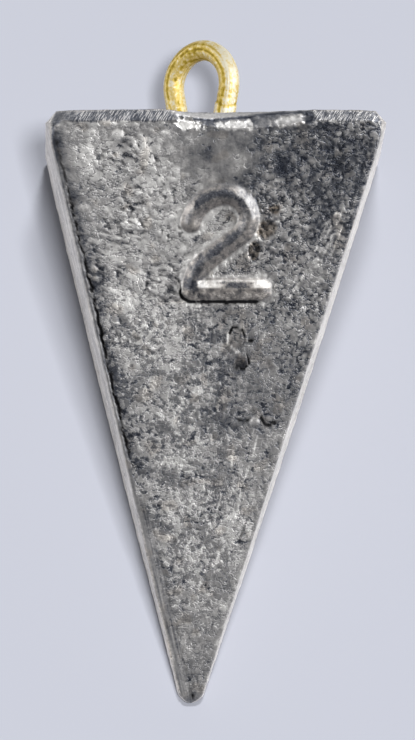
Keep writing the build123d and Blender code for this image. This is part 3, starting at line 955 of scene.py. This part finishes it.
def lead_material():
    """Cast lead: its grey follows the tone of the skin, with crisp pale flecks, clustered dark pits, thin
    crevices, slanting file marks and a fine grain laid over it, each as strong as the skin says. It browns
    where it is stained, goes nearly black where it is dirty and where shade is painted into cracks, grooves
    and hollows, is shinier where the skin is, and has a pale bloom where it is seen at a slant."""
    material, tree, shader = new_material("cast_lead")
    place = add_node(tree, "ShaderNodeTexCoord").outputs["Object"]
    read = {key: stored(tree, key) for key in FINISH}
    bent = add_node(tree, "ShaderNodeVectorMath", {"operation": "MULTIPLY_ADD"},
                    _0=noise(tree, place, BEND_SIZE, 2.0, output="Color"), _1=BEND, _2=place).outputs[0]
    slanted = add_node(tree, "ShaderNodeMapping", Vector=bent, Rotation=PIT_SLANT, Scale=PIT_SQUEEZE)
    slanted = slanted.outputs[0]
    drifts = reckon(tree, "MULTIPLY_ADD", noise(tree, place, FLECK_DRIFT_SIZE, 3.0), 0.8, -0.4)
    flecks = step_up(tree, reckon(tree, "ADD", noise(tree, bent, FLECK_SIZE, 5.0), drifts), 0.495, 0.55)
    flecks = reckon(tree, "MULTIPLY", flecks, read["fleck"])
    pits = step_up(tree, noise(tree, slanted, PIT_SIZE, 4.0, 0.55), 0.55, 0.64)
    clusters = step_up(tree, noise(tree, place, PIT_CLUSTER_SIZE, 2.0), 0.45, 0.6)
    pits = reckon(tree, "MULTIPLY", reckon(tree, "MULTIPLY", pits, clusters), read["pit"])
    winding = reckon(tree, "SUBTRACT", noise(tree, slanted, CREVICE_SIZE, 3.0, 0.55), 0.5)
    crevices = reckon(tree, "SUBTRACT", 1.0, step_up(tree, reckon(tree, "ABSOLUTE", winding), 0.008, 0.05))
    crevices = reckon(tree, "MULTIPLY", crevices, read["crevice"])
    filed = add_node(tree, "ShaderNodeCombineXYZ", _0=distance_along(tree, place, FILE_ACROSS),
                     _1=distance_along(tree, place, FILE_ALONG)).outputs[0]
    marks = reckon(tree, "SUBTRACT", step_up(tree, noise(tree, filed, FILE_MARK_SIZE, 2.0), 0.44, 0.64), 0.4)
    marks = reckon(tree, "MULTIPLY", marks, read["hatch"])
    fine = noise(tree, place, FINE_SIZE, 4.0)
    fine_tone = reckon(tree, "SUBTRACT", fine, 0.5)

    tone = read["tone"]
    for mark, paling in ((flecks, 0.2), (read["fleck"], -0.08), (pits, -0.36), (crevices, -0.24),
                         (fine_tone, 0.26), (marks, 0.34)):
        tone = reckon(tree, "MULTIPLY_ADD", mark, paling, tone)
    height = 0.0
    for mark, rise in ((flecks, 0.014), (pits, -0.06), (crevices, -0.05), (fine, 0.017), (marks, 0.015)):
        height = reckon(tree, "MULTIPLY_ADD", mark, rise * MM, height)
    stained = add_node(tree, "ShaderNodeMix", {"data_type": "RGBA", "blend_type": "MULTIPLY"},
                       Factor=read["brown"], _6=add_ramp(tree, tone, LEAD_GREYS), _7=STAIN)
    grimed_and_shaded = add_node(tree, "ShaderNodeMix", {"data_type": "RGBA"},
                      Factor=read["grime_and_shade"], _6=stained.outputs[2], _7=GRIME_AND_SHADE)
    rough = add_node(tree, "ShaderNodeMapRange", Value=read["shine"], _3=DULL_ROUGHNESS, _4=SHINY_ROUGHNESS)
    relief = add_node(tree, "ShaderNodeBump", Strength=1.0, Distance=1.0, Height=height)
    tree.links.new(grimed_and_shaded.outputs[2], shader.inputs["Base Color"])
    tree.links.new(rough.outputs[0], shader.inputs["Roughness"])
    tree.links.new(relief.outputs[0], shader.inputs["Normal"])
    shader.inputs["Metallic"].default_value = 0.65
    shader.inputs["Sheen Weight"].default_value = 0.22
    shader.inputs["Sheen Roughness"].default_value = 0.3
    return material


# The two points that close the mesh, in the middle of the base and at the tip, carry one middling finish
POLE_FINISH = 0.3
bands = casting_bands()
made = [casting_band(*band) for band in bands]
poles = np.array([[0, 0, 0], [POINT_SHIFT * (TIP_END - BEVEL) / POINT_DROP, 0, -TIP_END]])
lead_points = laid_down(np.concatenate([points for points, _ in made] + [poles]))
lead_finish = np.concatenate([finish for _, finish in made] + [np.full((2, len(FINISH)), POLE_FINISH)])
casting = piece_from("casting", lead_points, casting_faces(bands), dict(zip(FINISH, lead_finish.T)))
casting.data.materials.append(lead_material())
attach(casting, "root")
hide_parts("lead_body")

# The wire eye: one length of brass wire, bent to a loop, with both legs cast into the lead. The wire is
# drawn, so its die lines run along it. Handling has dulled the top of the loop. The loop's outside and the
# front of the right leg are painted pale as highlights, and a sleeve of burr is left low on the right leg.
WIRE_RADIUS = 0.612
EYE_RADIUS = 2.08
EYE_RISE = 2.72
EYE_SHIFT = -0.79
EYE_TURN = np.radians(40)
EYE_LEAN = np.radians(2)
LEG_LEAN = np.radians(11)
LEG_LENGTH = 4.0
LEFT_BULGE = 0.1
LEFT_BULGE_REACH = 1.6
WIRE_STEP = 0.09
WIRE_SIDES = 72
# Angles round the wire, from the loop's outside towards the front, and along the loop, from its right side
SCORE_ANGLE = np.radians(86)
SCORE_WIDTH = np.radians(9)
SCUFFED_ANGLE = np.radians(135)
DULLED_TURN = np.radians(115)
# How high the burr and the cross cuts lie on the right leg, and how far the burr's edge waves
BURR_RISE = 1.5
BURR_WAVE = 0.25
CROSS_CUT_RISE = 2.1


def eye_path():
    """The wire's middle line in the eye's plane, with its heading: up the right leg, round the loop, down the
    left leg, which bulges a little outwards."""
    up_leg = np.linspace(0, LEG_LENGTH, round(LEG_LENGTH / WIRE_STEP) + 1)[:-1]
    swing = np.pi + 2 * LEG_LEAN
    angle = np.linspace(-LEG_LEAN, np.pi + LEG_LEAN, round(EYE_RADIUS * swing / WIRE_STEP) + 1)
    loop = np.stack([EYE_RADIUS * np.cos(angle), EYE_RISE + EYE_RADIUS * np.sin(angle)], -1)
    heading = np.array([np.sin(LEG_LEAN), np.cos(LEG_LEAN)])
    right = loop[0] - (LEG_LENGTH - up_leg)[:, None] * heading
    left = right[::-1] * [-1, 1]
    right_turning, left_turning = np.full(len(up_leg), -LEG_LEAN), np.full(len(up_leg), np.pi + LEG_LEAN)
    path = np.concatenate([right, loop, left])
    bulge = LEFT_BULGE * bump(path[:, 1] - EYE_RISE, LEFT_BULGE_REACH)
    path[:, 0] -= bulge * ramp(-path[:, 0], 0.0, EYE_RADIUS)
    return path, np.concatenate([right_turning, angle, left_turning])


def eye_wire():
    """The wire's skin: a ring of points round each place on the path, pushed in and out by die lines, by
    one deeper score along the front, by nicks, cross cuts and a sleeve of burr low on the right leg. With it
    comes the tarnish: dark in all these, at the dulled top and on a scuffed streak at the left, and light on
    the loop's outside and down the front of the right leg, where highlights are painted in as pale brass."""
    path, turning = eye_path()
    round_angle = np.arange(WIRE_SIDES) / WIRE_SIDES * 2 * np.pi
    away = np.stack([np.cos(turning), np.sin(turning)], -1)
    a, s = np.meshgrid(round_angle, np.arange(len(path)) * WIRE_STEP)
    turn = np.broadcast_to(turning[:, None], a.shape)
    rise = np.broadcast_to(path[:, 1:], a.shape)
    around = np.stack([np.cos(a) * 2.2, np.sin(a) * 2.2, s * 0.1], -1).reshape(-1, 3)
    skin = np.stack([np.cos(a) * WIRE_RADIUS, np.sin(a) * WIRE_RADIUS, s], -1).reshape(-1, 3)
    die_lines = layered(around, 0.45, 201, 2).reshape(a.shape)
    speckle = layered(skin, 0.3, 211, 3).reshape(a.shape)
    wander = 0.1 * layered(on_face(s, 0 * s).reshape(-1, 3), 2.0, 215, 2).reshape(a.shape)

    score = bump(a - SCORE_ANGLE - wander, SCORE_WIDTH) * ramp(speckle, -1.0, 0.0)
    dulled = bump(turn - DULLED_TURN, 0.75) * ramp(np.sin(a), -0.2, 0.5)
    scuffed = bump(a - SCUFFED_ANGLE - wander, 0.22) * ramp(turn, 2.2, 2.9)
    nicks = ramp(speckle, 0.1, 0.5)
    on_right = 1 - ramp(turn, 0.0, 0.4)
    above_burr = rise + BURR_WAVE * np.cos(a - 0.9) ** 2 - BURR_RISE
    burr = on_right * (1 - ramp(above_burr, 0.0, 0.12))
    burr_edge = on_right * bump(above_burr - 0.14, 0.09)
    cross_cuts = on_right * ramp(np.sin(18 * s + 3 * speckle), 0.4, 0.9) * bump(rise - CROSS_CUT_RISE, 0.5)
    radius = WIRE_RADIUS + 0.012 * die_lines - 0.035 * score - 0.02 * nicks * (0.3 + dulled + scuffed)
    radius = radius + 0.04 * burr - 0.02 * burr_edge - 0.015 * cross_cuts

    u = path[:, :1] + radius * np.cos(a) * away[:, :1]
    v = path[:, 1:] + radius * np.cos(a) * away[:, 1:]
    w = radius * np.sin(a)
    lean_u = u * np.cos(EYE_LEAN) + v * np.sin(EYE_LEAN)
    lean_v = v * np.cos(EYE_LEAN) - u * np.sin(EYE_LEAN)
    x = EYE_SHIFT + lean_u * np.cos(EYE_TURN) - w * np.sin(EYE_TURN)
    y = -lean_u * np.sin(EYE_TURN) - w * np.cos(EYE_TURN)
    points = np.stack([x, y, lean_v], -1).reshape(-1, 3)

    # Painted highlights: the loop's outside and the front of the right leg get less tarnish, so they show as
    # pale brass.
    outer = bump(np.minimum(a, 2 * np.pi - a), 0.5) + bump(a - 0.95, 0.3) * (1 - ramp(turn, 0.5, 1.2))
    tarnish = 0.19 - 0.26 * np.clip(outer, 0, 1) + 0.28 * ramp(die_lines, 0.0, 0.5) + 0.5 * score
    tarnish += 0.3 * cross_cuts + 0.4 * burr_edge - 0.12 * burr
    tarnish += dulled * (0.2 + 0.45 * speckle) + scuffed * (0.25 + 0.6 * speckle) + 0.12 * speckle
    return points, tarnish.reshape(-1), len(path)


def tube_faces(rows, sides):
    """Quads between neighbouring rings of a tube, pointing outwards, and one flat face over each end."""
    index = np.arange(rows * sides).reshape(rows, sides)
    a, b = index[:-1], index[1:]
    quads = np.stack([a, b, np.roll(b, -1, 1), np.roll(a, -1, 1)], -1).reshape(-1, 4).tolist()
    return quads + [index[0].tolist(), index[-1, ::-1].tolist()]


BRASS_GOLDS = [(0.0, (0.96, 0.9, 0.7)), (0.3, (0.83, 0.64, 0.22)),
               (0.65, (0.52, 0.37, 0.03)), (1.0, (0.3, 0.2, 0.015))]
CLEAN_ROUGHNESS = 0.48
TARNISHED_ROUGHNESS = 0.65
SPECK_SIZE = 1 / 6
SPECK_DEPTH = 0.05


def brass_material():
    """Drawn brass: pale gold with fine specks, darker and duller where die lines and nicks hold tarnish."""
    material, tree, shader = new_material("brass_wire")
    place = add_node(tree, "ShaderNodeTexCoord").outputs["Object"]
    speck = noise(tree, place, SPECK_SIZE, 3.0)
    depth = reckon(tree, "ADD", stored(tree, "tarnish"), reckon(tree, "MULTIPLY_ADD", speck, 0.9, -0.45))
    rough = add_node(tree, "ShaderNodeMapRange", Value=depth, _3=CLEAN_ROUGHNESS, _4=TARNISHED_ROUGHNESS)
    pit = add_node(tree, "ShaderNodeBump", Strength=0.4, Distance=SPECK_DEPTH * MM, Height=speck)
    tree.links.new(add_ramp(tree, depth, BRASS_GOLDS), shader.inputs["Base Color"])
    tree.links.new(rough.outputs[0], shader.inputs["Roughness"])
    tree.links.new(pit.outputs[0], shader.inputs["Normal"])
    shader.inputs["Metallic"].default_value = 0.45
    return material


wire_points, wire_tarnish, wire_rows = eye_wire()
wire_faces = tube_faces(wire_rows, WIRE_SIDES)
eye = piece_from("eye_loop", laid_down(wire_points), wire_faces, {"tarnish": wire_tarnish})
eye.data.materials.append(brass_material())
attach(eye, "root")
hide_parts("wire_eye")

# The table that the sinker lies on: a plain pale board with no gloss. It glows a little, so that only a soft
# shadow shows on it.
FLOOR_HALF = 3.0
FLOOR_COLOUR = (0.12, 0.124, 0.14)
FLOOR_GLOW = (0.045, 0.046, 0.053)

floor_mesh = bpy.data.meshes.new("table")
corners = np.array([(-1, -1, 0), (1, -1, 0), (1, 1, 0), (-1, 1, 0)]) * FLOOR_HALF
floor_mesh.from_pydata(corners.tolist(), [], [(0, 1, 2, 3)])
table = add_object("table", floor_mesh)
board, _, board_shader = new_material("pale_board")
board_shader.inputs["Base Color"].default_value = (*FLOOR_COLOUR, 1)
board_shader.inputs["Emission Color"].default_value = (*FLOOR_GLOW, 1)
board_shader.inputs["Emission Strength"].default_value = 1.0
board_shader.inputs["Roughness"].default_value = 0.9
board_shader.inputs["Specular IOR Level"].default_value = 0.0
table.data.materials.append(board)

# The light: two soft boxes overhead light the table and make the shadow on it, three light the casting
# alone and three the wire alone, and the room is dim and even.
ROOM_COLOUR = (0.98, 0.97, 0.97)
ROOM_STRENGTH = 0.3


def stand_at(thing, right, up, back, spot):
    """Stand a light or a camera at a spot, with its three axes along these directions."""
    stand = np.eye(4)
    stand[:3, :3] = np.stack([right, up, back], -1)
    stand[:3, 3] = spot
    thing.matrix_world = Matrix(stand.tolist())


def soft_box(name, lit, direction, distance, width, height, power):
    """A rectangular light that stands off in this direction, faces the part and lights only what is lit."""
    light = bpy.data.lights.new(name, "AREA")
    light.shape = "RECTANGLE"
    light.size, light.size_y = width, height
    light.energy = power
    box = add_object(name, light)
    back = np.asarray(direction, float) / np.linalg.norm(direction)
    right = np.cross([0, 0, 1], back)
    right /= np.linalg.norm(right)
    stand_at(box, right, np.cross(back, right), back, back * distance)
    box.light_linking.receiver_collection = lit


lit_by = {}
for piece in (casting, eye, table):
    lit_by[piece] = bpy.data.collections.new(f"only_{piece.name}")
    lit_by[piece].objects.link(piece)
soft_box("front_box", lit_by[table], (0.06, -0.32, 0.93), 1.6, 0.13, 0.13, 68.0)
soft_box("overhead_box", lit_by[table], (0.05, 0.02, 1.0), 1.6, 0.14, 0.14, 49.0)
soft_box("top_box", lit_by[casting], (0.55, 0.7, 0.55), 0.6, 0.22, 0.22, 5.0)
soft_box("left_box", lit_by[casting], (-1.0, 0.1, 0.5), 0.6, 0.4, 0.2, 4.6)
soft_box("right_box", lit_by[casting], (1.0, 0.0, 0.35), 0.6, 0.4, 0.2, 6.5)
soft_box("eye_box", lit_by[eye], (0.48, -0.13, 0.87), 0.6, 0.25, 0.25, 2.6)
soft_box("eye_left_box", lit_by[eye], (-1.0, 0.2, 0.3), 0.6, 0.2, 0.2, 0.7)
soft_box("eye_right_box", lit_by[eye], (1.0, 0.2, 0.3), 0.6, 0.2, 0.2, 0.7)
room = bpy.data.worlds.new("room")
room.use_nodes = True
room.node_tree.nodes["Background"].inputs["Color"].default_value = (*ROOM_COLOUR, 1)
room.node_tree.nodes["Background"].inputs["Strength"].default_value = ROOM_STRENGTH
bpy.context.scene.world = room
bpy.context.scene.view_settings.view_transform = "Standard"

# The camera: far off with a long lens, a little below the level of the base and nearly square on to the
# front. Its lens makes the rim about 338 pixels wide in a picture that is 740 pixels high.
FRAME_HEIGHT = 740
RIM_PIXELS = 338.22
CAMERA_RIMS_AWAY = 40
CAMERA_PITCH = np.radians(6.108)
CAMERA_YAW = np.radians(-0.699)
CAMERA_ROLL = np.radians(-0.106)
LOOK_SIDE_SHARE = -0.0213
LOOK_DROP_SHARE = 0.6827
SENSOR = 36.0
CLIP_END = 10.0

rim_width = 2 * RIM_HALF
level_share = np.cos(CAMERA_PITCH)
back = np.array([np.sin(CAMERA_YAW) * level_share, -np.cos(CAMERA_YAW) * level_share, -np.sin(CAMERA_PITCH)])
level = np.cross([0, 0, 1], back)
level /= np.linalg.norm(level)
upright = np.cross(back, level)
right = np.cos(CAMERA_ROLL) * level + np.sin(CAMERA_ROLL) * upright
up = np.cos(CAMERA_ROLL) * upright - np.sin(CAMERA_ROLL) * level
target = np.array([LOOK_SIDE_SHARE * rim_width, 0, -LOOK_DROP_SHARE * rim_width - BEVEL])
camera_data = bpy.data.cameras.new("camera")
camera_data.sensor_width = SENSOR
camera_data.lens = RIM_PIXELS * CAMERA_RIMS_AWAY / FRAME_HEIGHT * SENSOR
camera_data.clip_end = CLIP_END
camera = add_object("camera", camera_data)
camera_spot = laid_down(target + back * CAMERA_RIMS_AWAY * rim_width)
stand_at(camera, turned(right), turned(up), turned(back), camera_spot)
bpy.context.scene.camera = camera
